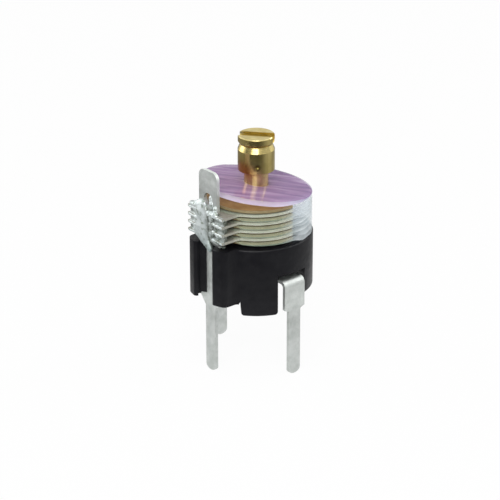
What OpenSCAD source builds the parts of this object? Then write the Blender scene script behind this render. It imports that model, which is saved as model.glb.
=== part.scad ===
// Film-dielectric trimmer capacitor, 10 mm class, for through-hole boards on a 0.1 inch grid.
// Millimetres. Z runs up the rotor axis and Z = 0 is the face of the feet that seats on the board.
// The stator terminal is on the -Y side and the two rotor pins lie on the X axis.
// At rest the rotor plates are fully meshed with the stator plates, on the -Y side.

/* [Base] */
// Outer radius of the round base
base_r = 5.0; // [4.8:0.1:6]
// Height of the deck that the plates stand on
deck_z = 6.2; // [5.8:0.1:8]
// Thickness of the deck
deck_t = 1.1; // [0.8:0.1:1.4]
// Wall of the skirt under the deck
skirt_t = 0.9; // [0.6:0.1:1.2]
// Height of the three feet below the skirt
foot_h = 1.25; // [0.8:0.05:1.6]
// Width of each foot where it stands on the board
foot_w = 3.2; // [2:0.1:3.4]
// Draft of the feet's sides, in degrees
foot_draft = 4; // [1:1:6]
// Direction of the two feet beside the stator terminal, below the X axis, in degrees
foot_angle = 36.5; // [34:1:42]
// Outer radius of the hub that the spindle turns in
hub_r = 1.9; // [1.5:0.1:2.2]
// Height of the hub's lower face, where the rotor strap seats
hub_z = 3.05; // [2.6:0.05:3.3]
// Rounding of the deck's outer edge
deck_round = 0.15; // [0.05:0.05:0.4]

/* [Pins] */
// Distance from the rotor axis to the middle of each pin
pin_circle_r = 5.08; // [5.05:0.01:5.15]
// Width of each pin where it enters the board
pin_w = 1.3; // [0.9:0.05:1.5]
// Length of the pins below the board's face
pin_len = 6.0; // [2.5:0.1:8]

/* [Rotor strap] */
// Thickness of the rotor strap's sheet
strap_t = 0.3; // [0.2:0.05:0.4]
// Width of the strap over its bends
strap_w = 2.25; // [1.8:0.1:2.8]
// Outer radius of the strap's bends
strap_bend_r = 0.6; // [0.4:0.05:0.8]
// Height of the shoulders where the strap narrows to its pins
strap_shoulder_z = 0.35; // [0.1:0.05:0.8]

/* [Stator terminal] */
// Thickness of the terminal's sheet
term_t = 0.3; // [0.2:0.05:0.4]
// Width of the terminal where it is held in the base
term_w = 2.7; // [2.4:0.1:3]
// Width of the soldering lug
lug_w = 2.45; // [1.8:0.05:2.6]
// Height of the lug's top
lug_top = 13.0; // [11.5:0.1:14]
// Height of the middle of the lug's hole
lug_hole_z = 10.4; // [10.2:0.05:11.5]
// Diameter of the lug's hole
lug_hole_d = 1.1; // [0.6:0.05:1.2]
// Rounding of the lug's upper corners
lug_round = 0.65; // [0.2:0.05:1]
// How far the lug is set outwards from the pin below it
lug_set = 0.18; // [0.05:0.01:0.2]

/* [Terminal block] */
// Radius of the block's outer face, round the rotor axis
block_r = 6.15; // [6:0.05:6.5]
// Width of the block
block_w = 5.0; // [4.6:0.05:5.2]
// Rounding of the block's outer corners
block_round = 0.6; // [0.4:0.05:0.7]
// Height of the block's lower face
block_z = 1.0; // [0.7:0.05:1.2]
// Radius of the fillets between the block and the round base
block_fillet = 0.4; // [0.2:0.05:0.6]
// Width of the channel between the block's two ribs
channel_w = 2.05; // [1.8:0.05:2.3]
// Distance from the rotor axis to the foot of the ribs, where the channel narrows
channel_y = 5.55; // [5.4:0.05:5.7]
// Rounding of the ribs beside the channel
rib_round = 0.3; // [0.1:0.05:0.4]
// Width of the window that shows the terminal
window_w = 0.85; // [0.6:0.05:1]
// Height of the window's lower edge
window_z = 1.38; // [1.3:0.01:1.6]

/* [Plates] */
// Thickness of each rotor plate
rotor_t = 0.22; // [0.18:0.01:0.26]
// Thickness of each stator plate
stator_t = 0.22; // [0.18:0.01:0.26]
// Space between a rotor plate and the next stator plate
plate_gap = 0.15; // [0.13:0.01:0.2]
// Radius of the plates
plate_r = 4.5; // [4.2:0.05:4.6]
// Radius of the rotor plates' boss around the spindle
rotor_boss_r = 1.9; // [1.7:0.1:2.2]
// How far the half-discs reach past the axis
plate_past = 0.35; // [0:0.05:0.6]
// Width of the tabs that join the stator plates to the terminal
tab_w = 4.7; // [4.5:0.1:5.2]
// Distance from the rotor axis to the tabs' outer edge
tab_y = 5.75; // [5.55:0.05:5.9]
// Radius of the fillets between the tabs and the round of the stator plates
tab_fillet = 0.5; // [0.3:0.05:0.8]

/* [Films] */
// Radius of the dielectric films
film_r = 4.9; // [4.7:0.05:4.9]
// Thickness of the films
film_t = 0.05; // [0.03:0.01:0.08]
// Height of the middle of the violet cover film
cover_z = 10.53; // [10.45:0.01:10.8]
// Height of the middle of the clear film under it
shield_z = 10.33; // [10.31:0.01:10.38]
// Radius to which the clear film under the cover is bent
shield_bend_r = 60; // [50:5:90]

/* [Spindle] */
// Height of the spindle's top
spindle_top = 15.05; // [14.5:0.05:17]
// Radius of the spindle's head and collar
head_r = 1.62; // [1.4:0.02:1.8]
// Height of the head's rim
rim_h = 0.55; // [0.4:0.05:0.8]
// Radius at the bottom of the groove under the head
neck_r = 1.42; // [1.2:0.02:1.5]
// Height of the groove
groove_h = 0.75; // [0.4:0.05:0.9]
// Height of the collar under the groove
collar_h = 1.95; // [1.2:0.05:2.4]
// Radius of the shaft above the plates
shaft_r = 1.08; // [0.95:0.01:1.2]
// Width of the screwdriver slots
slot_w = 1.0; // [0.6:0.05:1.2]
// Depth of the screwdriver slots
slot_depth = 0.6; // [0.4:0.05:0.8]
// Direction of the screwdriver slot at rest, in degrees from X
slot_angle = 40; // [0:5:90]
// Radius of the spindle where it carries the plates
keyed_r = 0.98; // [0.9:0.01:1.05]
// Width across the two flats that key the plates
flats_w = 1.5; // [1.3:0.05:1.7]
// Radius of the journal that turns in the base
journal_r = 0.8; // [0.7:0.01:0.85]
// Radial play of the journal in its bore
journal_play = 0.03; // [0.02:0.01:0.08]

/* [Spring and ring] */
// Thickness of the thrust washer between the base and the rotor
thrust_t = 0.2; // [0.15:0.05:0.3]
// Outer radius of the dished spring washer
spring_r = 1.8; // [1.5:0.1:2.1]
// Thickness of the dished spring washer
spring_t = 0.12; // [0.08:0.01:0.18]
// Dish of the spring washer
spring_dish = 0.22; // [0.12:0.02:0.3]
// Outer radius of the retaining ring
ring_r = 1.45; // [1.2:0.05:1.6]
// Thickness of the retaining ring
ring_t = 0.3; // [0.2:0.05:0.4]
// Depth of the groove that holds the retaining ring
ring_groove = 0.2; // [0.1:0.05:0.3]

/* [Hidden] */
$fn = 96;
rotor_count = 5;
stator_count = rotor_count - 1;
film_count = 2 * stator_count;
eps = 0.02;           // overrun of cuts past the faces that they open
fit_gap = 0.02;       // clearance of a sheet in its slot
film_play = 0.1;      // radial clearance of the films round what passes through them
swage_h = 0.12;       // height of the lip swaged under the lowest rotor plate
edge_cut = 0.08;      // chamfers on the turned spindle

// Heights of the stack, from the deck up
lip_z = deck_z + thrust_t;
stack_z = lip_z + swage_h;
plate_pitch = rotor_t + stator_t + 2 * plate_gap;
spacer_h = stator_t + 2 * plate_gap;
stack_top = stack_z + (rotor_count - 1) * plate_pitch + rotor_t;
function rotor_z(i) = stack_z + (i - 1) * plate_pitch;
function stator_z(i) = rotor_z(i) + rotor_t + plate_gap;
function film_z(i) = rotor_z(1) + rotor_t + (plate_gap - film_t) / 2
    + floor((i - 1) / 2) * plate_pitch + (i % 2 == 0 ? stator_t + plate_gap : 0);

// Radii round the axis
spacer_r = rotor_boss_r - 0.3;
stator_clear_r = rotor_boss_r + 0.3;
film_hole_r = spacer_r + film_play;
skirt_in_r = base_r - skirt_t;

// Heights below the deck
skirt_z = foot_h;
strap_top = hub_z;
strap_under = strap_top - strap_t;
ring_top = strap_under - spring_t - spring_dish - 2 * fit_gap;
ring_under = ring_top - ring_t;
spindle_under = ring_under - 0.45;

// Solder
bead_r = 0.27;
bead_sag = 0.09;
bead_coat = 0.07;     // thickness of the solder over the tabs' ends
filler_r = 0.16;
skin_r = 0.09;
lug_climb = 0.2;      // how far the skin climbs the lug above the top tab's solder
drip_out = 0.28;      // how far the drip stands in front of the lug's face
solder_top = stator_z(stator_count) + stator_t + 0.16;

// Pins and their slots
strap_x = pin_circle_r + strap_t / 2;
notch_w = strap_w + 0.8;
notch_top = strap_top + 0.55;
strap_taper = 0.2;    // height of the slope from the strap's shoulders to its pins
term_out = pin_circle_r + term_t / 2;
term_in = term_out - term_t;
term_shoulder_z = block_z;
term_taper = 1.2 * (term_w - pin_w) / 2;   // height of the slope from the shoulders to the pin
tip_h = 0.35 * pin_w;
lug_out = term_out + lug_set;
lug_in = term_in + lug_set;
lug_foot_z = deck_z + 0.35;   // top of the step that sets the lug outwards
block_in = (skirt_in_r + base_r) / 2 - 0.6;
web_t = 0.7;
web_sink = 0.2;       // overlap of the webs with the hub and the skirt
lower_slot = 0.6;     // size of the lower screwdriver slot against the upper one

// Spindle heights from the top down
rim_z = spindle_top - rim_h;
groove_z = rim_z - groove_h;
collar_z = groove_z - collar_h;
dimple_r = 0.22;
dimple_z = collar_z + 0.75;
dimple_angle = -36;

// The films over the stack: the cover leans, its clear shield leans less and is bent
sight = -40;           // direction across the fall of the two upper films
cover_rise = 3.8;      // lean of the cover towards `sight`, in degrees
cover_fall = 7.7;      // fall of the cover across it
shield_rise = 2.3;
shield_fall = 6.5;
cover_hole_r = shaft_r + 0.2;

stator_names = [for (i = [1 : stator_count]) str("stator_plate_", i)];
rotor_names = [for (i = [1 : rotor_count]) str("rotor_plate_", i)];
spacer_names = [for (i = [1 : stator_count]) str("rotor_spacer_", i)];
film_names = [for (i = [1 : film_count]) str("dielectric_film_", i)];

// A flat ring or disc
module washer(outer, inner, h) {
    difference() {
        cylinder(r = outer, h = h);
        translate([0, 0, -eps]) cylinder(r = inner, h = h + 2 * eps);
    }
}

// A rectangle with two rounded corners on its +Y end, standing on Y = 0
module tongue(w, h, r) {
    translate([-w / 2, 0]) square([w, h - r]);
    translate([-w / 2 + r, 0]) square([w - 2 * r, h]);
    for (side = [-1, 1]) translate([side * (w / 2 - r), h - r]) circle(r = r);
}

// A pin's outline from Y = 0 down to its rounded tip
module pin_outline(len) {
    translate([-pin_w / 2, tip_h - len]) square([pin_w, len - tip_h]);
    intersection() {
        translate([-pin_w / 2, -len]) square([pin_w, tip_h + eps]);
        translate([0, tip_h - len]) scale([pin_w / 2, tip_h]) circle(r = 1);
    }
}

// The spindle's section where it carries the plates: a circle with two flats
module keyed_section(grow = 0) {
    intersection() {
        circle(r = keyed_r + grow);
        square([2 * keyed_r + 1, flats_w + 2 * grow], center = true);
    }
}

// The outline of one foot, run outwards along +X: its sides lean in towards the board
module foot_prism() {
    corner = 0.25;
    rise = skirt_z + 1;
    lean = (rise - corner) * tan(foot_draft);
    translate([skirt_in_r / 2, 0, 0]) rotate([90, 0, 90]) linear_extrude(base_r) {
        for (side = [-1, 1]) translate([side * (foot_w / 2 - corner), corner]) circle(r = corner);
        translate([corner - foot_w / 2, 0]) square([foot_w - 2 * corner, rise]);
        polygon([
            [-foot_w / 2, corner], [foot_w / 2, corner],
            [foot_w / 2 + lean, rise], [-foot_w / 2 - lean, rise]]);
    }
}

// What is cut away under the skirt, all but the three feet
module skirt_gaps() {
    difference() {
        translate([0, 0, -1]) cylinder(r = base_r + 1, h = skirt_z + 1);
        for (angle = [-foot_angle, foot_angle - 180, 90]) rotate(angle) foot_prism();
    }
}

module base() {
    color([0.10, 0.10, 0.11]) difference() {
        union() {
            difference() {
                cup();
                skirt_gaps();
            }
            translate([0, 0, hub_z]) cylinder(r = hub_r, h = deck_z - hub_z - deck_t + eps);
            hub_webs();
            terminal_block();
        }
        translate([0, 0, hub_z - eps])
            cylinder(r = journal_r + journal_play, h = deck_z - hub_z + 2 * eps);
        pin_notches();
        terminal_slot();
    }
}

// Deck and skirt: their section is turned about the axis, down to the feet
module cup() {
    rotate_extrude() difference() {
        union() {
            square([base_r - deck_round, deck_z]);
            square([base_r, deck_z - deck_round]);
            translate([base_r - deck_round, deck_z - deck_round]) circle(r = deck_round);
        }
        translate([-base_r, -eps]) square([base_r, deck_z + 1]);
        translate([-eps, -eps]) square([skirt_in_r + eps, deck_z - deck_t + eps]);
    }
}

// Two webs that tie the hub to the skirt beside the strap
module hub_webs() {
    for (side = [-1, 1]) scale([1, side, 1])
        translate([-web_t / 2, hub_r - web_sink, hub_z])
            cube([web_t, skirt_in_r - hub_r + 2 * web_sink, deck_z - hub_z - deck_t + eps]);
}

// Points on an arc, from one direction to another
function arc(centre, r, from, to, steps = 8) =
    [for (i = [0 : steps]) let (a = from + (to - from) * i / steps) centre + r * [cos(a), sin(a)]];

// The middle of a round of radius r that lies inside the block's face, x from the middle plane
function round_middle(x, r) = [x, -sqrt(pow(block_r - r, 2) - x * x)];
function direction(point) = atan2(point[1], point[0]);

// The block that holds the stator terminal: two ribs with a channel between them
module terminal_block() {
    translate([0, 0, block_z]) linear_extrude(deck_z - block_z)
        for (side = [-1, 1]) scale([side, 1]) {
            rib_outline();
            corner_fill(block_w / 2, base_r, block_fillet);
        }
}

// The rib on the +X side: outer corner, round face, inner corner, channel and window
module rib_outline() {
    outer = round_middle(block_w / 2 - block_round, block_round);
    inner = round_middle(channel_w / 2 + rib_round, rib_round);
    polygon(concat(
        [[window_w / 2, -block_in], [block_w / 2, -block_in]],
        arc(outer, block_round, 0, direction(outer)),
        arc([0, 0], block_r, direction(outer), direction(inner)),
        arc(inner, rib_round, direction(inner), -180),
        [[channel_w / 2, -channel_y], [window_w / 2, -term_out]]));
}

// The fillet where a straight side at x = half_w meets a disc of radius disc_r, on its -Y side
module corner_fill(half_w, disc_r, fillet) {
    cx = half_w + fillet;
    cy = sqrt(pow(disc_r + fillet, 2) - cx * cx);
    touch = disc_r / (disc_r + fillet);
    difference() {
        polygon([
            [half_w - eps, -cy], [cx, -cy], [cx * touch, -cy * touch],
            [half_w - eps, -cy * touch + fillet / 2]]);
        translate([cx, -cy]) circle(r = fillet);
    }
}

// Notches for the rotor strap's two legs
module pin_notches() {
    reach = base_r - skirt_in_r + 1;
    for (side = [0, 180]) rotate(side)
        translate([skirt_in_r - 0.5, -notch_w / 2, -eps]) cube([reach, notch_w, notch_top + eps]);
}

// The slot that the terminal slides into from below, and the pocket round its lower end
module terminal_slot() {
    pocket_w = term_w + 2 * fit_gap;
    pocket_t = term_t + 2 * fit_gap;
    pocket_out = channel_y + 0.2;
    translate([-pocket_w / 2, -term_out - fit_gap, block_z - eps])
        cube([pocket_w, pocket_t, deck_z]);
    translate([-pocket_w / 2, -pocket_out, block_z - eps])
        cube([pocket_w, pocket_out - term_in, window_z - block_z + eps]);
}

// Sheet brass, tinned: pin, shoulders and strip below, and a lug set outwards above the deck
module stator_terminal() {
    color([0.78, 0.80, 0.78]) difference() {
        union() {
            translate([0, -term_in, 0]) rotate([90, 0, 0]) linear_extrude(term_t) terminal_blank();
            translate([-lug_w / 2, 0, 0]) rotate([90, 0, 90]) linear_extrude(lug_w) lug_joggle();
            translate([0, -lug_in, lug_foot_z - eps]) rotate([90, 0, 0]) linear_extrude(term_t)
                tongue(lug_w, lug_top - lug_foot_z + eps, lug_round);
        }
        translate([0, -lug_in + eps, lug_hole_z]) rotate([90, 0, 0])
            cylinder(d = lug_hole_d, h = term_t + 2 * eps);
    }
}

module terminal_blank() {
    pin_outline(pin_len);
    translate([-pin_w / 2, -eps]) square([pin_w, term_shoulder_z + eps]);
    polygon([
        [-pin_w / 2, term_shoulder_z - term_taper], [pin_w / 2, term_shoulder_z - term_taper],
        [term_w / 2, term_shoulder_z], [term_w / 2, deck_z],
        [-term_w / 2, deck_z], [-term_w / 2, term_shoulder_z]]);
}

// Side view of the step between the strip and the lug
module lug_joggle() {
    polygon([
        [-term_out, deck_z - eps], [-term_in, deck_z - eps],
        [-lug_in, lug_foot_z], [-lug_out, lug_foot_z]]);
}

// The strap's section is a wide U, cut to the width of its legs and pins
module rotor_strap() {
    color([0.84, 0.84, 0.82]) difference() {
        intersection() {
            translate([0, strap_w, 0]) rotate([90, 0, 0]) linear_extrude(2 * strap_w) strap_section();
            rotate([90, 0, 90]) translate([0, 0, -2 * base_r]) linear_extrude(4 * base_r) strap_outline();
        }
        translate([0, 0, strap_under - eps])
            cylinder(r = journal_r + journal_play + 0.1, h = strap_t + 2 * eps);
    }
}

module strap_section() {
    bend_in = strap_bend_r - strap_t;
    for (side = [0, 1]) mirror([side, 0]) {
        translate([-eps, strap_under]) square([strap_x - strap_bend_r + eps, strap_t]);
        translate([strap_x - strap_t, -pin_len]) square([strap_t, pin_len + strap_top - strap_bend_r]);
        translate([strap_x - strap_bend_r, strap_top - strap_bend_r]) difference() {
            intersection() {
                circle(r = strap_bend_r);
                square(strap_bend_r);
            }
            circle(r = bend_in);
        }
    }
}

module strap_outline() {
    translate([-strap_w / 2, strap_shoulder_z]) square([strap_w, strap_top]);
    translate([-pin_w / 2, -eps]) square([pin_w, strap_shoulder_z + 2 * eps]);
    polygon([
        [-pin_w / 2, strap_shoulder_z - strap_taper], [pin_w / 2, strap_shoulder_z - strap_taper],
        [strap_w / 2, strap_shoulder_z], [strap_w / 2, strap_shoulder_z + eps],
        [-strap_w / 2, strap_shoulder_z + eps], [-strap_w / 2, strap_shoulder_z]]);
    pin_outline(pin_len);
}

// A stator plate: a half-disc that stays clear of the rotor's boss, and a tab notched for the terminal
module stator_outline() {
    difference() {
        union() {
            intersection() {
                circle(r = plate_r);
                translate([-plate_r, -plate_r]) square([2 * plate_r, plate_r + plate_past]);
            }
            translate([-tab_w / 2, -tab_y]) square([tab_w, tab_y - plate_r / 2]);
            for (side = [-1, 1]) scale([side, 1]) corner_fill(tab_w / 2, plate_r, tab_fillet);
        }
        circle(r = stator_clear_r);
        translate([-stator_clear_r, 0]) square([2 * stator_clear_r, plate_past + eps]);
        translate([-lug_w / 2 - fit_gap, -tab_y - eps])
            square([lug_w + 2 * fit_gap, tab_y + eps - lug_in + fit_gap]);
    }
}

module stator_plate(i) {
    color([0.76, 0.75, 0.66]) translate([0, 0, stator_z(i)])
        linear_extrude(stator_t) stator_outline();
}

// Solder that joins the tabs to the lug and runs down over the deck
module stator_solder() {
    color([0.74, 0.77, 0.77]) difference() {
        union() {
            for (side = [-1, 1]) {
                tab_beads(side);
                tab_filler(side);
            }
            lug_coat();
            drip();
        }
        for (i = [1 : stator_count]) translate([0, 0, stator_z(i)]) linear_extrude(stator_t)
            stator_outline();
        translate([-lug_w / 2, -lug_out, deck_z]) cube([lug_w, 2 * lug_out, lug_top]);
        rotate([90, 0, 90]) translate([0, 0, -lug_w / 2]) linear_extrude(lug_w) lug_joggle();
    }
}

// A run of solder that spans balls of one radius at the given places
module solder_run(places, r) {
    hull() for (place = places) translate(place) sphere(r = r, $fn = 14);
}

// A rounded bead over each tab's two ends, sagging a little below the tab
module tab_beads(side) {
    for (i = [1 : stator_count])
        solder_run([for (x = [lug_w / 2 + bead_r / 2, tab_w / 2 + bead_coat - bead_r])
            [side * x, bead_r - tab_y - bead_coat, stator_z(i) + stator_t / 2 - bead_sag]], bead_r);
}

// Solder between the tabs, behind the beads' faces
module tab_filler(side) {
    solder_run([
        for (x = [lug_w / 2 - 2 * filler_r, tab_w / 2 - 1.5 * filler_r])
            for (y = [1.5 * filler_r + bead_r / 2 - tab_y, -lug_in - 1.5 * filler_r])
                for (z = [deck_z + 1.5 * filler_r, solder_top - filler_r]) [side * x, y, z]],
        filler_r);
}

// The skin over the lug's face, which climbs highest at the lug's -X edge
module lug_coat() {
    left = 1.5 * filler_r - tab_w / 2;
    right = lug_w / 2 - filler_r;
    solder_run([
        [left, -lug_out, solder_top - skin_r], [-right, -lug_out, solder_top + lug_climb],
        [right, -lug_out, solder_top - skin_r], [right, -lug_out, deck_z + 2 * skin_r],
        [left, -lug_out, deck_z + 2 * skin_r]], skin_r);
}

// The drip that hangs into the channel between the ribs
module drip() {
    hang = 0.5;
    drip_w = channel_w / 2 - 1.5 * skin_r;
    front = -lug_out - drip_out;
    solder_run([
        [-drip_w, -lug_out, lug_foot_z], [hang, -lug_out, lug_foot_z],
        [-drip_w, front, deck_z], [hang, front, deck_z], [0.8 * hang, front, deck_z - hang]], skin_r);
}

module dielectric_film(i) {
    color([0.86, 0.90, 0.93, 0.5]) translate([0, 0, film_z(i)])
        washer(film_r, film_hole_r, film_t);
}

// The clear film under the cover: a disc bent to a large radius and leaning
module shield_film() {
    color([0.88, 0.88, 0.93, 0.5]) intersection() {
        translate([0, 0, shield_z]) rotate(sight) rotate([-shield_fall, -shield_rise, 0])
            translate([0, 0, -shield_bend_r]) rotate([90, 0, 0]) translate([0, 0, -film_r - 1])
                washer(shield_bend_r + film_t / 2, shield_bend_r - film_t / 2, 2 * film_r + 2, $fn = 360);
        translate([0, 0, shield_z - 2]) washer(film_r, cover_hole_r, 4);
    }
}

// The violet cover film: a flat disc that leans on the lug side of the stack
module cover_film() {
    color([0.66, 0.52, 0.72, 0.8]) intersection() {
        translate([0, 0, cover_z]) rotate(sight) rotate([-cover_fall, -cover_rise, 0])
            translate([0, 0, -film_t / 2]) cylinder(r = film_r + 1, h = film_t);
        translate([0, 0, cover_z - 2]) washer(film_r, cover_hole_r, 4);
    }
}

module thrust_washer() {
    color([0.80, 0.66, 0.36]) translate([0, 0, deck_z])
        washer(rotor_boss_r, journal_r + journal_play, thrust_t);
}

// A dished washer that pulls the rotor down on the base
module spring_washer() {
    hole = journal_r + journal_play;
    color([0.75, 0.74, 0.70]) translate([0, 0, strap_under - spring_dish - spring_t - fit_gap])
        rotate_extrude() polygon([
            [hole, 0], [spring_r, spring_dish],
            [spring_r, spring_dish + spring_t], [hole, spring_t]]);
}

// Turned brass: head, groove, collar, shaft, keyed part, journal and ring groove
module spindle() {
    color([0.72, 0.58, 0.27]) difference() {
        union() {
            rotate_extrude() spindle_profile();
            translate([0, 0, stack_z]) linear_extrude(stack_top - stack_z) keyed_section();
            translate([0, 0, lip_z]) cylinder(r = keyed_r + 0.12, h = swage_h);
        }
        translate([0, 0, spindle_top]) driver_slot(slot_w, slot_depth);
        translate([0, 0, spindle_under]) driver_slot(lower_slot * slot_w, lower_slot * slot_depth);
        rotate(dimple_angle) translate([head_r + dimple_r / 2, 0, dimple_z]) sphere(r = dimple_r);
    }
}

// A slot across an end face, cut to the given depth on both of its sides
module driver_slot(width, depth) {
    rotate(slot_angle) cube([2 * head_r + 1, width, 2 * depth], center = true);
}

module spindle_profile() {
    polygon([
        [0, stack_top], [0, spindle_top], [head_r - edge_cut, spindle_top],
        [head_r, spindle_top - edge_cut], [head_r, rim_z],
        [neck_r, rim_z - 0.35 * groove_h], [head_r, groove_z],
        [head_r, collar_z + edge_cut], [head_r - edge_cut, collar_z],
        [shaft_r, collar_z], [shaft_r, stack_top]]);
    polygon([
        [0, stack_top + eps], [keyed_r - 0.3, stack_top + eps], [journal_r - 0.1, stack_z],
        [journal_r, lip_z], [journal_r, ring_top],
        [journal_r - ring_groove, ring_top], [journal_r - ring_groove, ring_under],
        [journal_r, ring_under], [journal_r, spindle_under + edge_cut],
        [journal_r - edge_cut, spindle_under], [0, spindle_under]]);
}

// An open ring pushed into the spindle's lower groove from the side
module retaining_ring() {
    mouth = 1.7 * (journal_r - ring_groove);
    color([0.70, 0.70, 0.68]) translate([0, 0, ring_under]) difference() {
        washer(ring_r, journal_r - ring_groove, ring_t);
        translate([0, -mouth / 2, -eps]) cube([ring_r + 1, mouth, ring_t + 2 * eps]);
    }
}

// A rotor plate: a half-disc on a round boss, keyed to the spindle
module rotor_plate(i) {
    color([0.75, 0.60, 0.32]) translate([0, 0, rotor_z(i)]) linear_extrude(rotor_t) difference() {
        union() {
            intersection() {
                circle(r = plate_r);
                translate([-plate_r, -plate_r]) square([2 * plate_r, plate_r + plate_past]);
            }
            circle(r = rotor_boss_r);
        }
        keyed_section();
    }
}

module rotor_spacer(i) {
    color([0.70, 0.56, 0.28]) translate([0, 0, rotor_z(i) + rotor_t]) linear_extrude(spacer_h)
        difference() {
            circle(r = spacer_r);
            keyed_section();
        }
}

base();
stator_terminal();
stator_solder();
rotor_strap();
for (i = [1 : stator_count]) stator_plate(i);
for (i = [1 : film_count]) dielectric_film(i);
shield_film();
cover_film();
thrust_washer();
spring_washer();
spindle();
retaining_ring();
for (i = [1 : rotor_count]) rotor_plate(i);
for (i = [1 : stator_count]) rotor_spacer(i);
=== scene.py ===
"""Looks of the film trimmer capacitor: finishes, films, solder, light and camera.

Metres, in the part's own frame: Z runs up the rotor axis, Z = 0 is the face that seats on the
board, the stator terminal is on the -Y side and the rotor pins lie on the X axis. Finishes,
and the tables of places and sizes, are in millimetres.
"""

import math

import bmesh
import bpy
from mathutils import Matrix, Vector, noise
from mathutils.bvhtree import BVHTree


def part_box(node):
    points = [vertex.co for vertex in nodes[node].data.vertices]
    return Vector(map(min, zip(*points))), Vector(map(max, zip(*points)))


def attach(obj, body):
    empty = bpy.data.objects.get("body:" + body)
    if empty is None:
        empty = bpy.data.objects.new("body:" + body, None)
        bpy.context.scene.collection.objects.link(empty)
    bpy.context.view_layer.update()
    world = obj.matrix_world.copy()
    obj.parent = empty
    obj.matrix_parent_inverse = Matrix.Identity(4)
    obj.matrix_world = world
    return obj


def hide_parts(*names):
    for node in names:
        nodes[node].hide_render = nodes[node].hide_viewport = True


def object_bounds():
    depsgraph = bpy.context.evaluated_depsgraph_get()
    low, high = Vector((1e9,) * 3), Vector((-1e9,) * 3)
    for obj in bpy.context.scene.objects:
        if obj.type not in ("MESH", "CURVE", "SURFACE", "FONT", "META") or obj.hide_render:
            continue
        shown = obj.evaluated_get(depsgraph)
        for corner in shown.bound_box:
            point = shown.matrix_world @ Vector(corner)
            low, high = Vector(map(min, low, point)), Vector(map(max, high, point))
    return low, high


MM = 0.001
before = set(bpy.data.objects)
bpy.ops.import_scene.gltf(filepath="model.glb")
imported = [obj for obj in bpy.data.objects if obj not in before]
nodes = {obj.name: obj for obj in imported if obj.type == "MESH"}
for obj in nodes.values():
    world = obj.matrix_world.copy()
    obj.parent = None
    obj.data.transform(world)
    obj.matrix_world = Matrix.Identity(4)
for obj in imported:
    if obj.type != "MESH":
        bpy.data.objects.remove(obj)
cad_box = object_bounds()


# ---------------------------------------------------------------- materials


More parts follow.
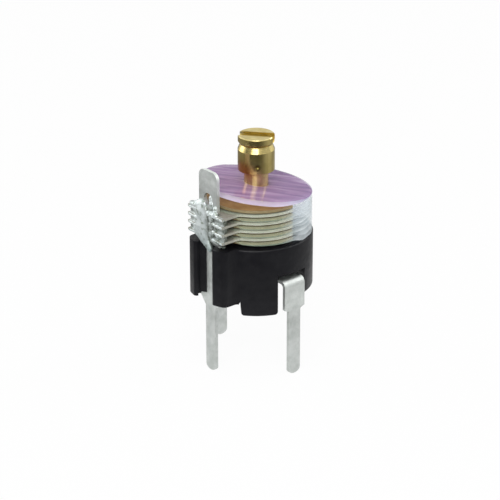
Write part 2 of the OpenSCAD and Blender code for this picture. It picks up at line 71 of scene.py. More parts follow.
class Finish:
    """A procedural material built on one Principled shader, measured in millimetres."""

    def __init__(self, name):
        self.material = bpy.data.materials.new(name)
        self.material.use_nodes = True
        tree = self.material.node_tree
        self.nodes = tree.nodes
        self.links = tree.links
        self.shader = self.nodes["Principled BSDF"]
        coords = self.nodes.new("ShaderNodeTexCoord")
        scale = self.nodes.new("ShaderNodeVectorMath")
        scale.operation = "SCALE"
        scale.inputs["Scale"].default_value = 1 / MM
        self.links.new(coords.outputs["Object"], scale.inputs[0])
        self.place = scale.outputs[0]

    def put(self, **values):
        """Sets the shader's own sockets."""
        for socket, value in values.items():
            self.shader.inputs[socket.replace("_", " ")].default_value = value
        return self

    def stretched(self, x, y, z, turn=0.0):
        """Coordinates squeezed along each axis after a turn about Z."""
        turned = self.nodes.new("ShaderNodeMapping")
        turned.inputs["Rotation"].default_value = (0, 0, math.radians(turn))
        squeezed = self.nodes.new("ShaderNodeMapping")
        squeezed.inputs["Scale"].default_value = (x, y, z)
        self.links.new(self.place, turned.inputs["Vector"])
        self.links.new(turned.outputs[0], squeezed.inputs["Vector"])
        return squeezed.outputs[0]

    def noise(self, per_mm, detail=4.0, place=None, distortion=0.0):
        """Soft clouds from 0 to 1, per_mm of them to a millimetre."""
        texture = self.nodes.new("ShaderNodeTexNoise")
        texture.inputs["Scale"].default_value = per_mm
        texture.inputs["Detail"].default_value = detail
        texture.inputs["Roughness"].default_value = 0.55
        texture.inputs["Distortion"].default_value = distortion
        self.links.new(place or self.place, texture.inputs["Vector"])
        return texture.outputs["Fac"]

    def ramp(self, value, *stops):
        """Colours or grey levels at places along value, from 0 to 1."""
        node = self.nodes.new("ShaderNodeValToRGB")
        ends = node.color_ramp.elements
        while len(ends) < len(stops):
            ends.new(0.5)
        for end, (at, colour) in zip(ends, stops):
            end.position = at
            level = colour if isinstance(colour, tuple) else (colour,) * 3
            end.color = (*level, 1)
        self.links.new(value, node.inputs["Fac"])
        return node.outputs["Color"]

    def span(self, value, low, high):
        """A value as 0 at low and 1 at high."""
        node = self.nodes.new("ShaderNodeMapRange")
        node.inputs["From Min"].default_value = low
        node.inputs["From Max"].default_value = high
        self.links.new(value, node.inputs["Value"])
        return node.outputs[0]

    def ramp_over(self, value, stops):
        """Colours or grey levels at places along a value in millimetres."""
        low, high = stops[0][0], stops[-1][0]
        shares = [((at - low) / (high - low), level) for at, level in stops]
        return self.ramp(self.span(value, low, high), *shares)

    def radius(self):
        """The distance from the rotor axis."""
        flat = self.nodes.new("ShaderNodeVectorMath")
        flat.operation = "MULTIPLY"
        flat.inputs[1].default_value = (1, 1, 0)
        self.links.new(self.place, flat.inputs[0])
        length = self.nodes.new("ShaderNodeVectorMath")
        length.operation = "LENGTH"
        self.links.new(flat.outputs[0], length.inputs[0])
        return length.outputs["Value"]

    def axis(self, name):
        """The place along X, Y or Z."""
        parts = self.nodes.new("ShaderNodeSeparateXYZ")
        self.links.new(self.place, parts.inputs[0])
        return parts.outputs[name]

    def by_radius(self, *stops):
        """Colours or grey levels at distances from the rotor axis."""
        return self.ramp_over(self.radius(), stops)

    def along(self, name, *stops):
        """Colours or grey levels at places along X, Y or Z."""
        return self.ramp_over(self.axis(name), stops)

    def spot(self, place, size):
        """1 round a place, falling to 0 at size from it."""
        away = self.nodes.new("ShaderNodeVectorMath")
        away.operation = "DISTANCE"
        away.inputs[1].default_value = place
        self.links.new(self.place, away.inputs[0])
        level = self.span(away.outputs["Value"], size, 0.3 * size)
        level.node.interpolation_type = "SMOOTHSTEP"
        return level

    def times(self, first, *others):
        """Colours or levels multiplied."""
        for other in others:
            node = self.nodes.new("ShaderNodeVectorMath")
            node.operation = "MULTIPLY"
            self.links.new(first, node.inputs[0])
            self.links.new(other, node.inputs[1])
            first = node.outputs[0]
        return first

    def tint(self, mask, colour, full=1.0):
        """A factor: 1 where mask is 0, and colour where mask reaches full."""
        return self.ramp(mask, (0.0, 1.0), (full, colour))

    def colour(self, source):
        self.links.new(source, self.shader.inputs["Base Color"])

    def roughness(self, source):
        self.links.new(source, self.shader.inputs["Roughness"])

    def alpha(self, source):
        self.links.new(source, self.shader.inputs["Alpha"])

    def bump(self, source, height_mm):
        """Relief of this height, over any relief that is already there."""
        node = self.nodes.new("ShaderNodeBump")
        node.inputs["Distance"].default_value = height_mm * MM
        self.links.new(source, node.inputs["Height"])
        before = self.shader.inputs["Normal"]
        if before.is_linked:
            self.links.new(before.links[0].from_socket, node.inputs["Normal"])
        self.links.new(node.outputs[0], before)


def black_plastic():
    """Satin moulded plastic, with a faint flow pattern and a fine grain."""
    f = Finish("black_plastic").put(Specular_IOR_Level=0.2)
    f.colour(f.ramp(f.noise(0.7), (0.35, (0.006, 0.006, 0.008)), (0.7, (0.010, 0.010, 0.012))))
    f.roughness(f.ramp(f.noise(2.5), (0.3, 0.30), (0.75, 0.42)))
    f.bump(f.noise(16, detail=2), 0.005)
    f.bump(f.noise(1.3, detail=1), 0.03)
    return f.material


def tinned(name, pale, dark, rough=(0.26, 0.42), lumps=0.02):
    """Tin over brass: clouded grey and softly uneven, with painted light and shade along its height:
    darker on the pins, lighter in the base's channel and lightest at the top.
    """
    f = Finish(name).put(Metallic=1.0)
    clouds = f.ramp(f.noise(1.4, detail=5), (0.3, dark), (0.68, pale))
    # painted light and shade by height: darker on the pins and round the solder, lighter in the base's
    # channel and at the lug's top
    light_and_shade_by_height = f.along(
        "Z", (-0.6, 0.74), (0.8, 0.98), (2.6, 0.96), (4.0, 1.14), (6.0, 1.14), (7.2, 0.92),
        (10.8, 0.93), (12.2, 1.14))
    f.colour(f.times(clouds, light_and_shade_by_height))
    f.roughness(f.ramp(f.noise(3.2), (0.3, rough[0]), (0.7, rough[1])))
    f.bump(f.noise(1.8, detail=3), lumps)
    f.bump(f.noise(12, detail=2), 0.004)
    return f.material


def frozen_solder():
    """Solder with a dull, frosted skin and dark specks, with painted shade in its hollows and painted
    shade low down, where it runs into the base's channel.
    """
    f = Finish("solder").put(Metallic=0.55)
    clouds = f.ramp(f.noise(1.2, detail=5), (0.3, (0.60, 0.66, 0.65)), (0.7, (0.84, 0.90, 0.90)))
    specks = f.ramp(f.noise(2.4, detail=3), (0.36, (0.50, 0.53, 0.46)), (0.44, 1.0))
    # painted shade in the hollows: darker where the skin lies back from the front, below the ledge
    hollows = f.times(f.span(f.axis("Y"), -5.70, -5.48), f.span(f.axis("Z"), 9.8, 9.5))
    hollow_shade = f.tint(hollows, (0.28, 0.28, 0.25))
    # painted shade: darker low down, where the solder runs into the base's channel
    drip_shade = f.along("Z", (5.6, (0.44, 0.50, 0.50)), (7.8, 1.0))
    f.colour(f.times(clouds, specks, hollow_shade, drip_shade))
    f.roughness(f.ramp(f.noise(1.5), (0.35, 0.28), (0.65, 0.52)))
    f.bump(f.noise(7.0, detail=3), 0.012)
    return f.material


def stamped_plate(name, pale, dark, metal, tab=1.0, edge=(1.0, 1.0, 1.0)):
    """Sheet dulled by tarnish; tab is the painted shade on its tab, where the lug and the solder shade
    it, and edge tints its sheared rim.
    """
    f = Finish(name).put(Metallic=metal)
    clouds = f.ramp(f.noise(1.1, detail=5), (0.3, dark), (0.72, pale))
    # painted shade on the tabs, fading in from Y = -3.6 to -4.6 mm, where the lug and the solder shade
    # them
    tab_shade = f.along("Y", (-4.6, tab), (-3.6, 1.0))
    f.colour(f.times(clouds, tab_shade, f.by_radius((4.36, 1.0), (4.46, edge))))
    f.roughness(f.ramp(f.noise(2.5), (0.3, 0.32), (0.7, 0.5)))
    f.bump(f.noise(6.0, detail=3), 0.01)
    return f.material


# Heights of the spindle's head and of its slot's floor, and places of the painted reflection of the
# violet film and of the painted shade in the dimple on its collar
SLOT_DEPTH = 0.6
HEAD_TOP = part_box("spindle")[1].z / MM
SLOT_FLOOR = HEAD_TOP - SLOT_DEPTH
VIOLET_REFLECTION_SPOT = (0.05, -1.62, 11.95)
DIMPLE = (1.09, -0.80, 12.47)


def turned_brass():
    """Bright brass with fine tool rings, rougher on the head's machined top and on its slot's floor;
    darker on that floor, and with painted light and shade: a paler top, a lighter slot wall and shaft, a
    painted reflection of the violet film low on the collar and painted shade in its dimple.
    """
    f = Finish("turned_brass").put(Metallic=1.0)
    bright = f.ramp(f.noise(0.9, detail=5), (0.3, (0.56, 0.44, 0.15)), (0.7, (0.76, 0.62, 0.25)))
    # painted sheen: the shaft lighter and bluer below the collar
    shaft = f.along("Z", (11.2, (1.25, 1.30, 1.45)), (12.0, 1.0))
    # painted reflection of the violet film: a reddish-brown darkening low on the collar
    violet_reflection = f.tint(f.spot(VIOLET_REFLECTION_SPOT, 1.6), (0.64, 0.40, 0.25))
    # painted shade in the dimple on the collar
    dimple_shade = f.tint(f.spot(DIMPLE, 0.50), (0.26, 0.25, 0.18), full=0.7)
    # masks of the head, each fading over a small part of a millimetre
    height, across = f.axis("Z"), f.radius()
    slot_floor = f.times(
        f.span(across, 1.66, 1.5), f.span(height, SLOT_FLOOR - 0.15, SLOT_FLOOR - 0.03),
        f.span(height, SLOT_FLOOR + 0.15, SLOT_FLOOR + 0.03))
    slot_wall = f.times(
        f.span(across, 1.60, 1.55), f.span(height, SLOT_FLOOR + 0.07, SLOT_FLOOR + 0.17),
        f.span(height, HEAD_TOP - 0.01, HEAD_TOP - 0.03))
    top = f.span(height, HEAD_TOP - 0.03, HEAD_TOP - 0.005)
    # darker on the slot's floor
    slot_floor_darkening = f.tint(slot_floor, (0.66, 0.62, 0.58))
    # painted sheen: the slot's wall lighter and paler
    slot_wall_sheen = f.tint(slot_wall, (1.30, 1.50, 2.40))
    # painted sheen: the head's top paler and bluer
    top_sheen = f.tint(top, (1.06, 1.12, 1.40))
    f.colour(f.times(bright, shaft, violet_reflection, dimple_shade, slot_floor_darkening, slot_wall_sheen, top_sheen))
    polish = f.ramp(f.noise(2.0), (0.3, 0.12), (0.7, 0.22))
    f.roughness(f.times(polish, f.tint(top, 2.6), f.tint(slot_floor, 2.6)))
    f.bump(f.noise(5.0, detail=3, place=f.stretched(0.02, 0.02, 4.0)), 0.006)
    return f.material


def clear_film():
    """Colourless film, faintly milky, thinner over the plates and painted darker and greener there as the
    shade between them, with a whiter cut rim.
    """
    f = Finish("clear_film").put(Specular_IOR_Level=0.5)
    clouds = f.ramp(f.noise(0.6), (0.3, (0.56, 0.62, 0.64)), (0.7, (0.68, 0.74, 0.78)))
    # painted shade between the plates: darker and greener towards -Y
    f.colour(f.times(clouds, f.along("Y", (-1.2, (0.58, 0.66, 0.48)), (0.6, 1.0))))
    f.roughness(f.ramp(f.noise(1.5), (0.3, 0.12), (0.7, 0.26)))
    rim = f.by_radius((4.4, 0.22), (4.55, 0.42), (4.8, 0.54), (4.9, 0.70))
    f.alpha(f.times(rim, f.along("Y", (-1.2, 0.80), (0.6, 1.0))))
    f.bump(f.noise(0.5, detail=1), 0.02)
    return f.material


def milky_film():
    """The clear film under the cover, which looks pale lavender with the light on it."""
    f = Finish("milky_film").put(Specular_IOR_Level=0.5)
    clouds = f.ramp(f.noise(0.6), (0.3, (0.86, 0.83, 0.94)), (0.7, (0.94, 0.92, 1.0)))
    f.colour(f.times(clouds, f.along("Y", (-1.0, 1.0), (1.5, (0.72, 0.76, 0.80)))))
    f.roughness(f.ramp(f.noise(1.5), (0.3, 0.10), (0.7, 0.22)))
    f.alpha(f.by_radius((3.6, 0.6), (4.38, 0.85), (4.9, 1.0)))
    f.bump(f.noise(0.5, detail=1), 0.02)
    return f.material


def violet_film():
    """Glossy violet film, paler at its rim, with paler rolling streaks painted in as reflections, and
    painted light and shade: lighter towards the lug, deeper away from it and on the -X side.
    """
    f = Finish("violet_film").put(Specular_IOR_Level=0.5, Alpha=0.93)
    # the paler rolling streaks are painted reflections over the violet
    streaks = f.noise(1.0, place=f.stretched(1.0, 0.10, 1.0, turn=40), distortion=0.6)
    colours = f.ramp(
        streaks, (0.36, (0.26, 0.14, 0.33)), (0.54, (0.41, 0.23, 0.47)), (0.72, (0.64, 0.46, 0.68)))
    rim = f.by_radius((3.86, 1.0), (4.9, (1.18, 1.32, 1.18)))
    # painted light and shade: lighter towards the lug, deeper away from it
    back = f.along("Y", (-3.5, (1.10, 1.15, 1.06)), (-0.25, 1.0), (3.0, (0.86, 0.86, 0.90)))
    # painted shade: darker on the -X side
    side = f.along("X", (-4.4, (0.80, 0.80, 0.84)), (-1.6, 1.0))
    f.colour(f.times(colours, rim, back, side))
    f.roughness(f.ramp(f.noise(1.5), (0.3, 0.05), (0.7, 0.12)))
    f.bump(f.noise(0.4, detail=1), 0.03)
    return f.material


def dress():
    """Gives every CAD node its finish."""
    silver = tinned("tinned_brass", (0.84, 0.87, 0.85), (0.65, 0.69, 0.66), rough=(0.42, 0.56))
    steel = tinned("spring_steel", (0.60, 0.60, 0.58), (0.48, 0.48, 0.46), lumps=0.006)
    # the tinned plates get painted shade on their tabs
    tin_plate = stamped_plate(
        "tinned_plate", (0.86, 0.85, 0.74), (0.66, 0.65, 0.54), metal=0.4, tab=0.55)
    brass = turned_brass()
    brass_plate = stamped_plate(
        "plate_brass", (0.44, 0.28, 0.11), (0.30, 0.17, 0.06), metal=0.2, edge=(0.97, 1.24, 1.75))
    finishes = {
        "base": black_plastic(),
        "stator_terminal": silver,
        "rotor_strap": silver,
        "stator_solder": frozen_solder(),
        "stator_plate": tin_plate,
        "dielectric_film": clear_film(),
        "shield_film": milky_film(),
        "cover_film": violet_film(),
        "thrust_washer": brass_plate,
        "spring_washer": steel,
        "retaining_ring": steel,
        "spindle": brass,
        "rotor_plate": brass_plate,
        "rotor_spacer": brass,
    }
    for name, obj in nodes.items():
        finish = finishes.get(name) or finishes[name.rsplit("_", 1)[0]]
        obj.data.materials.clear()
        obj.data.materials.append(finish)


# ---------------------------------------------------------------- pieces


def add_piece(name, mesh, node):
    """Makes a smooth mesh object that stands for a CAD node and takes its finish."""
    data = bpy.data.meshes.new(name)
    mesh.to_mesh(data)
    mesh.free()
    data.materials.append(nodes[node].data.materials[0])
    for face in data.polygons:
        face.use_smooth = True
    piece = bpy.data.objects.new(name, data)
    bpy.context.scene.collection.objects.link(piece)
    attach(piece, "stator")
    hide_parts(node)
    return piece


def ease(low, high, value):
    """0 below low, 1 above high and smooth between."""
    t = min(max((value - low) / (high - low), 0.0), 1.0)
    return t * t * (3 - 2 * t)


class FilmShape:
    """The middle surface of a CAD film, read from its mesh, in metres."""

    def __init__(self, node):
        data = nodes[node].data
        corners = [Vector(v.co) for v in data.vertices]
        self.tree = BVHTree.FromPolygons(corners, [p.vertices for p in data.polygons])
        radii = [v.xy.length for v in corners]
        self.inner, self.outer = min(radii), max(radii)

    def height(self, radius, x, y):
        """The film's middle height at a radius in the direction x, y, probed just inside its edges."""
        probe = min(max(radius, self.inner * 1.004), self.outer * 0.996)
        above = self.tree.ray_cast(Vector((probe * x, probe * y, 1)), Vector((0, 0, -1)))[0]
        below = self.tree.ray_cast(Vector((probe * x, probe * y, -1)), Vector((0, 0, 1)))[0]
        return (above.z + below.z) / 2


# Rings of faces in a film sheet, closer together towards its rim, and points round each ring
FILM_RINGS, FILM_CROWDING, FILM_SPOKES = 24, 0.6, 240
# How the part of a film past the plates sinks, and how unevenly and how often round its rim
DROOP_CURVE, RIPPLE, RIPPLES = 1.5, 0.35, 3


def film_sheet(name, node, hole, droop, seed):
    """One thin round sheet on the middle of a CAD film, with its rim drooping past the plates.

    hole is its inner radius and droop(angle) how far the rim sinks there, in metres.
    """
    shape = FilmShape(node)
    plate_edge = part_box("stator_plate_1")[1].x + 0.02 * MM
    mesh = bmesh.new()
    rows = []
    for i in range(FILM_RINGS + 1):
        r = hole + (shape.outer - hole) * (i / FILM_RINGS) ** FILM_CROWDING
        past = max(0.0, (r - plate_edge) / (shape.outer - plate_edge))
        row = []
        for j in range(FILM_SPOKES):
            a = 2 * math.pi * j / FILM_SPOKES
            x, y = math.cos(a), math.sin(a)
            ripple = 1 + RIPPLE * noise.noise(Vector((RIPPLES * x, RIPPLES * y, seed)))
            z = shape.height(r, x, y) - droop(a) * ripple * past ** DROOP_CURVE
            row.append(mesh.verts.new((r * x, r * y, z)))
        rows.append(row)
    for low, high in zip(rows, rows[1:]):
        for j in range(FILM_SPOKES):
            k = (j + 1) % FILM_SPOKES
            mesh.faces.new((low[j], high[j], high[k], low[k]))
    piece = add_piece(name, mesh, node)
    piece.visible_shadow = False
    return piece


# Azimuths in degrees from X where a side begins, is reached, begins to end and has ended: the
# side that no plate reaches at rest, the tabs and the lug, and where the upper films stand up
FREE_SIDE = (0, 22, 158, 180)
TAB_SIDE = (232, 242, 298, 308)
LIFTED_SIDE = (255, 310, 310, 350)


def within(side, angle):
    """1 on a side, 0 away from it and smooth between."""
    degrees = math.degrees(angle) % 360
    begins, reached, ending, ended = side
    return ease(begins, reached, degrees) * (1 - ease(ending, ended, degrees))


def stack_droop(free, plates):
    """How the rim of a film in the stack sinks, on the free side and between the plates."""

    def droop(angle):
        open_share = within(FREE_SIDE, angle)
        return MM * (free * open_share + plates * (1 - open_share) * (1 - within(TAB_SIDE, angle)))

    return droop


def top_droop(level, free, lift):
    """How the rim of an upper film sinks: evenly, more on the free side, and less where it is lifted."""

    def droop(angle):
        return MM * (level + free * within(FREE_SIDE, angle) - lift * within(LIFTED_SIDE, angle))

    return droop


# The shaft's radius where it passes through the two upper films
SHAFT_R = 1.08 * MM


def films():
    """The eight films between the plates, the lower ones hanging further, and the two over them.

    Their droops are in millimetres.
    """
    for i in range(1, 9):
        node = f"dielectric_film_{i}"
        hanging = 0.24 + 0.30 * ease(4.5, 1, i)
        over_rotor = 0.20 if i % 2 else 0.04
        film_sheet(
            f"film_sheet_{i}", node, FilmShape(node).inner,
            stack_droop(hanging, over_rotor), seed=5.0 * i)
    film_sheet(
        "shield_sheet", "shield_film", SHAFT_R + 0.06 * MM,
        top_droop(0.02, 0.0, 0.11), seed=71.0)
    film_sheet(
        "cover_sheet", "cover_film", SHAFT_R + 0.02 * MM,
        top_droop(0.02, 0.08, 0.05), seed=83.0)


# The solder's run down the lug into the channel: height, middle in X, half width and depth
SOLDER_FLOW = (
    (9.85, -0.80, 0.55, 0.18), (9.65, -1.02, 0.80, 0.26), (9.40, -1.08, 1.00, 0.30),
    (9.05, -0.98, 1.02, 0.33), (8.60, -0.84, 0.92, 0.33), (8.10, -0.86, 0.95, 0.33),
    (7.60, -0.96, 1.06, 0.33), (7.15, -0.98, 1.09, 0.33), (6.80, -0.76, 0.92, 0.33),
    (6.50, -0.44, 0.68, 0.32), (6.25, -0.10, 0.52, 0.31), (6.02, 0.22, 0.38, 0.30),
    (5.82, 0.46, 0.24, 0.28))

# Places and half sizes of the solder's other lumps
SOLDER_LUMPS = (
    # up the side of the hole
    ((0.36, -5.32, 10.38), (0.30, 0.16, 0.50)),
    ((0.44, -5.38, 9.98), (0.28, 0.18, 0.42)),
    ((1.06, -5.48, 9.78), (0.24, 0.20, 0.30)),
    # the ledge over the top tab
    ((0.36, -5.60, 9.26), (0.30, 0.24, 0.26)),
    ((0.92, -5.64, 9.32), (0.62, 0.30, 0.26)),
    ((1.18, -5.56, 9.46), (0.34, 0.30, 0.24)),
    # thin webs on the lug between the tabs
    ((0.46, -5.46, 8.74), (0.36, 0.18, 0.34)),
    ((0.40, -5.44, 8.06), (0.36, 0.16, 0.44)),
    ((0.46, -5.46, 7.26), (0.36, 0.18, 0.36)),
    # bright blobs on the tabs, and one under the lowest
    ((1.66, -5.64, 8.46), (0.30, 0.20, 0.20)),
    ((1.62, -5.66, 7.62), (0.22, 0.20, 0.22)),
    ((-1.75, -5.50, 9.45), (0.62, 0.28, 0.26)),
    ((1.75, -5.10, 6.36), (0.18, 0.18, 0.15)))

# Where the flow's drops lie in Y and their half height, and the half sizes of a drop along a tab's
# edge and of one between two tabs
FLOW_Y, FLOW_HALF_HEIGHT = -5.46, 0.30
BEAD = (0.16, 0.22, 0.19)
WEB = (0.25, 0.15, 0.26)


def drop_row(count, side, start, step, y, z, size):
    """Equal drops in a row away from the lug, on one side of it."""
    return [((side * (start + step * i), y, z), size) for i in range(count)]


def solder_drops():
    """Places and half sizes of the ellipsoids that make up the frozen solder, in millimetres."""
    drops = list(SOLDER_LUMPS)
    for above, below in zip(SOLDER_FLOW, SOLDER_FLOW[1:]):
        for t in (0, 1 / 3, 2 / 3):
            z, x, width, depth = Vector(above).lerp(Vector(below), t)
            drops.append(((x, FLOW_Y, z), (width, depth, FLOW_HALF_HEIGHT)))
    for i in range(1, 5):
        low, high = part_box(f"stator_plate_{i}")
        middle = (low.z + high.z) / 2 / MM
        has_tab_above = i < 4
        for side in (-1, 1):
            drops += drop_row(10, side, 0.95, 0.14, -5.58, middle - 0.04, BEAD)
            if has_tab_above:
                drops += drop_row(4, side, 1.27, 0.28, -5.43, middle + 0.34, WEB)
    return drops


# Middle and size in X and Y of the solder's core between the tabs, and its reach under the lowest
CORE_PLACE, CORE_SIZE, CORE_BELOW = (1.75, -5.22), (1.0, 0.20), 0.12
# How finely the drops are melted together, how often they are smoothed, and how high the skin swells
MELT_GRAIN, MELT_SMOOTHING, SKIN_SWELL = 0.045, 6, 0.022


def solder_joint():
    """The frozen solder: a core between the tabs, a bead on each tab, and a flow down the lug."""
    mesh = bmesh.new()
    core_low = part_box("stator_plate_1")[0].z - CORE_BELOW * MM
    core_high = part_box("stator_plate_4")[1].z
    for side in (-1, 1):
        core = Vector((side * CORE_PLACE[0] * MM, CORE_PLACE[1] * MM, (core_low + core_high) / 2))
        size = (CORE_SIZE[0] * MM, CORE_SIZE[1] * MM, core_high - core_low)
        bmesh.ops.create_cube(mesh, size=1, matrix=Matrix.Translation(core) @ Matrix.Diagonal((*size, 1)))
    for place, size in solder_drops():
        shift = Matrix.Translation(Vector(place) * MM) @ Matrix.Diagonal((*[s * MM for s in size], 1))
        bmesh.ops.create_icosphere(mesh, subdivisions=3, radius=1, matrix=shift)
    piece = add_piece("solder_joint", mesh, "stator_solder")
    remesh = piece.modifiers.new("melt", "REMESH")
    remesh.mode = "VOXEL"
    remesh.voxel_size = MELT_GRAIN * MM
    remesh.use_smooth_shade = True
    soften = piece.modifiers.new("soften", "SMOOTH")
    soften.iterations = MELT_SMOOTHING
    melted = piece.evaluated_get(bpy.context.evaluated_depsgraph_get())
    skin = bmesh.new()
    skin.from_mesh(melted.to_mesh())
    piece.modifiers.clear()
    skin.normal_update()
    for vertex in skin.verts:
        place = vertex.co / MM
        swell = noise.noise(place * 2.2) + 0.4 * noise.noise(place * 5.5)
        vertex.co += vertex.normal * SKIN_SWELL * MM * swell
    for face in skin.faces:
        face.smooth = True
    skin.to_mesh(piece.data)
    skin.free()


# ---------------------------------------------------------------- studio


def card_material(name):
    """Matt card whose grey level is painted on its mesh."""
    material = bpy.data.materials.new(name)
    material.use_nodes = True
    tree = material.node_tree
    shader = tree.nodes["Principled BSDF"]
    shader.inputs["Roughness"].default_value = 0.9
    shader.inputs["Specular IOR Level"].default_value = 0.0
    shade = tree.nodes.new("ShaderNodeVertexColor")
    shade.layer_name = "shade"
    tree.links.new(shade.outputs["Color"], shader.inputs["Base Color"])
    return material


def backdrop_rays(tree):
    """1 for the rays that see the backdrop: camera, glossy and transmission rays."""
    rays = tree.nodes.new("ShaderNodeLightPath")
    seen = tree.nodes.new("ShaderNodeMath")
    seen.operation = "MAXIMUM"
    also = tree.nodes.new("ShaderNodeMath")
    also.operation = "MAXIMUM"
    tree.links.new(rays.outputs["Is Camera Ray"], seen.inputs[0])
    tree.links.new(rays.outputs["Is Glossy Ray"], seen.inputs[1])
    tree.links.new(seen.outputs[0], also.inputs[0])
    tree.links.new(rays.outputs["Is Transmission Ray"], also.inputs[1])
    return also.outputs[0]


# Azimuths in the studio are in degrees from -Y, the lug's side, towards X.


def direction(azimuth, elevation):
    """The unit vector from the part at an azimuth and elevation in degrees."""
    a, e = math.radians(azimuth), math.radians(elevation)
    return Vector((math.sin(a) * math.cos(e), -math.cos(a) * math.cos(e), math.sin(e)))


# How white the floor and the backdrop look, how much light the backdrop itself gives, and how far
# the floor lies under the pins
FLOOR_WHITE, SKY_WHITE, SKY_LIGHT = 0.95, 0.965, 0.3
FLOOR_GAP = 0.02 * MM


def pale_floor():
    """A floor under the pins: white to the camera and in reflections, with the part's soft shadow."""
    bpy.ops.mesh.primitive_plane_add(size=6, location=(0, 0, cad_box[0].z - FLOOR_GAP))
    floor = bpy.context.object
    floor.name = "floor"
    material = bpy.data.materials.new("floor")
    material.use_nodes = True
    tree = material.node_tree
    tree.nodes.clear()
    paint = tree.nodes.new("ShaderNodeBsdfDiffuse")
    paint.inputs["Color"].default_value = (0.95, 0.95, 0.95, 1)
    white = tree.nodes.new("ShaderNodeEmission")
    white.inputs["Color"].default_value = (1, 1, 1, 1)
    share = tree.nodes.new("ShaderNodeMath")
    share.operation = "MULTIPLY"
    share.inputs[1].default_value = FLOOR_WHITE
    blend = tree.nodes.new("ShaderNodeMixShader")
    out = tree.nodes.new("ShaderNodeOutputMaterial")
    tree.links.new(backdrop_rays(tree), share.inputs[0])
    tree.links.new(share.outputs[0], blend.inputs["Fac"])
    tree.links.new(paint.outputs[0], blend.inputs[1])
    tree.links.new(white.outputs[0], blend.inputs[2])
    tree.links.new(blend.outputs[0], out.inputs["Surface"])
    floor.data.materials.append(material)


# The largest step along a card's edge, in degrees
CARD_STEP = 3


def card_levels(stops):
    """Azimuths and grey levels at small steps from the first stop to the last."""
    points = []
    for (start, first), (end, second) in zip(stops, stops[1:]):
        steps = math.ceil((end - start) / CARD_STEP)
        for i in range(steps):
            points.append((start + (end - start) * i / steps, first + (second - first) * i / steps))
    return [*points, stops[-1]]


def flag(name, stops, near, far):
    """A grey card round part of the scene, which shows only in reflections.

    stops are its azimuths, each with the grey level there; near and far are the distance from
    the axis and the height over the pins' tips of its two long edges, in millimetres.
    """
    mesh = bmesh.new()
    shade = mesh.verts.layers.float_color.new("shade")
    rows = []
    for azimuth, level in card_levels(stops):
        a = math.radians(azimuth)
        row = []
        for distance, height in (near, far):
            place = Vector((math.sin(a) * distance, -math.cos(a) * distance, height)) * MM
            place.z += cad_box[0].z
            corner = mesh.verts.new(place)
            corner[shade] = (level, level, level, 1)
            row.append(corner)
        rows.append(row)
    for row, after in zip(rows, rows[1:]):
        mesh.faces.new((row[0], row[1], after[1], after[0]))
    data = bpy.data.meshes.new(name)
    mesh.to_mesh(data)
    mesh.free()
    data.materials.append(card_material(name))
    card = bpy.data.objects.new(name, data)
    bpy.context.scene.collection.objects.link(card)
    card.visible_camera = False
    card.visible_diffuse = False
    card.visible_shadow = False


def softbox(name, azimuth, elevation, distance, width, height, radiance):
    """A soft rectangular lamp that faces the part."""
    data = bpy.data.lights.new(name, "AREA")
    data.shape = "RECTANGLE"
    data.size = width
    data.size_y = height
    data.energy = radiance * math.pi * width * height
    lamp = bpy.data.objects.new(name, data)
    away = direction(azimuth, elevation)
    lamp.location = away * distance
    lamp.rotation_mode = "QUATERNION"
    lamp.rotation_quaternion = away.to_track_quat("Z", "Y")
    bpy.context.scene.collection.objects.link(lamp)


def sky():
    """Even light all round, and a white backdrop to the camera and in reflections."""
    world = bpy.data.worlds.new("studio")
    bpy.context.scene.world = world
    world.use_nodes = True
    tree = world.node_tree
    back = tree.nodes["Background"]
    back.inputs["Color"].default_value = (1, 1, 1, 1)
    level = tree.nodes.new("ShaderNodeMapRange")
    level.inputs["To Min"].default_value = SKY_LIGHT
    level.inputs["To Max"].default_value = SKY_WHITE
    tree.links.new(backdrop_rays(tree), level.inputs["Value"])
    tree.links.new(level.outputs[0], back.inputs["Strength"])


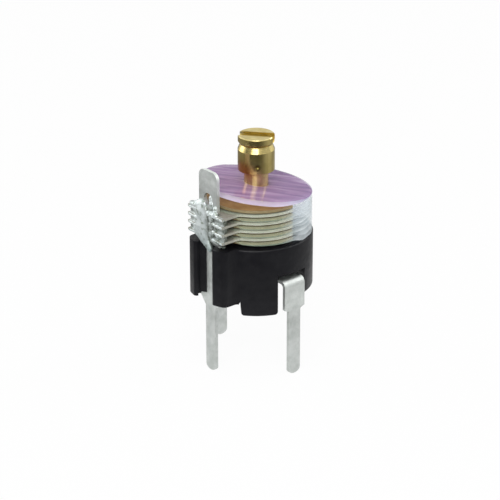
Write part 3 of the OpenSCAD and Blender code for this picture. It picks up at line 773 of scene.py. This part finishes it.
def camera():
    """A long lens a little above the part, at the photograph's viewing angle."""
    away = direction(50.0, 23.2)
    distance, target = 200 * MM, Vector((0, 0, 7 * MM))
    data = bpy.data.cameras.new("camera")
    data.sensor_width = 36
    data.lens = 164
    data.shift_x = -0.0125
    data.shift_y = -0.0608
    data.clip_start = 10 * MM
    data.clip_end = 20
    eye = bpy.data.objects.new("camera", data)
    eye.location = target + away * distance
    eye.rotation_mode = "QUATERNION"
    eye.rotation_quaternion = (-away).to_track_quat("-Z", "Y")
    bpy.context.scene.collection.objects.link(eye)
    bpy.context.scene.camera = eye


# The cards: azimuths with their grey levels, and distance and height of the near and far edge
CARDS = {
    "floor_cards": (
        ((-130, 0.32), (-60, 0.32), (-30, 0.28), (-8, 0.14), (5, 0.10), (60, 0.09), (85, 0.16),
         (105, 0.32), (130, 0.52), (150, 0.50), (168, 0.34), (190, 0.50), (230, 0.52)),
        (22, 0), (150, 0)),
    "left_card": (((-28, 0.9), (-18, 0.3), (18, 0.2), (24, 0.9)), (160, 22), (160, 90)),
    "right_card": (((72, 0.8), (78, 0.2), (96, 0.2), (106, 0.5), (150, 0.6)), (160, 15), (160, 78)),
    "back_card": (((-185, 0.8), (-175, 0.4), (-95, 0.4), (-85, 0.8)), (160, 22), (160, 76)),
}

# The lamps: azimuth and elevation in degrees, distance, width and height in metres, and radiance
LAMPS = {
    "overhead": (50, 82, 0.35, 0.30, 0.30, 1.1),
    "edge_light": (50, 66, 0.42, 0.20, 0.07, 2.5),
    "window": (42, 37, 0.40, 0.28, 0.16, 5.0),
    "front_fill": (46, 17, 0.42, 0.24, 0.12, 1.4),
    "left_panel": (-56, 17, 0.40, 0.24, 0.22, 1.8),
    "right_panel": (134, 17, 0.40, 0.16, 0.20, 1.2),
    "right_strip": (163, 28, 0.40, 0.08, 0.16, 4.0),
}


def studio():
    """Floor, cards, lamps, sky and camera."""
    bpy.context.scene.view_settings.view_transform = "Standard"
    # a ray from the side passes through the rims of many films
    bpy.context.scene.cycles.transparent_max_bounces = 40
    pale_floor()
    for name, card in CARDS.items():
        flag(name, *card)
    for name, lamp in LAMPS.items():
        softbox(name, *lamp)
    # its reflection would burn out the brass when seen from above
    bpy.data.objects["overhead"].visible_glossy = False
    sky()
    camera()


dress()
films()
solder_joint()
studio()
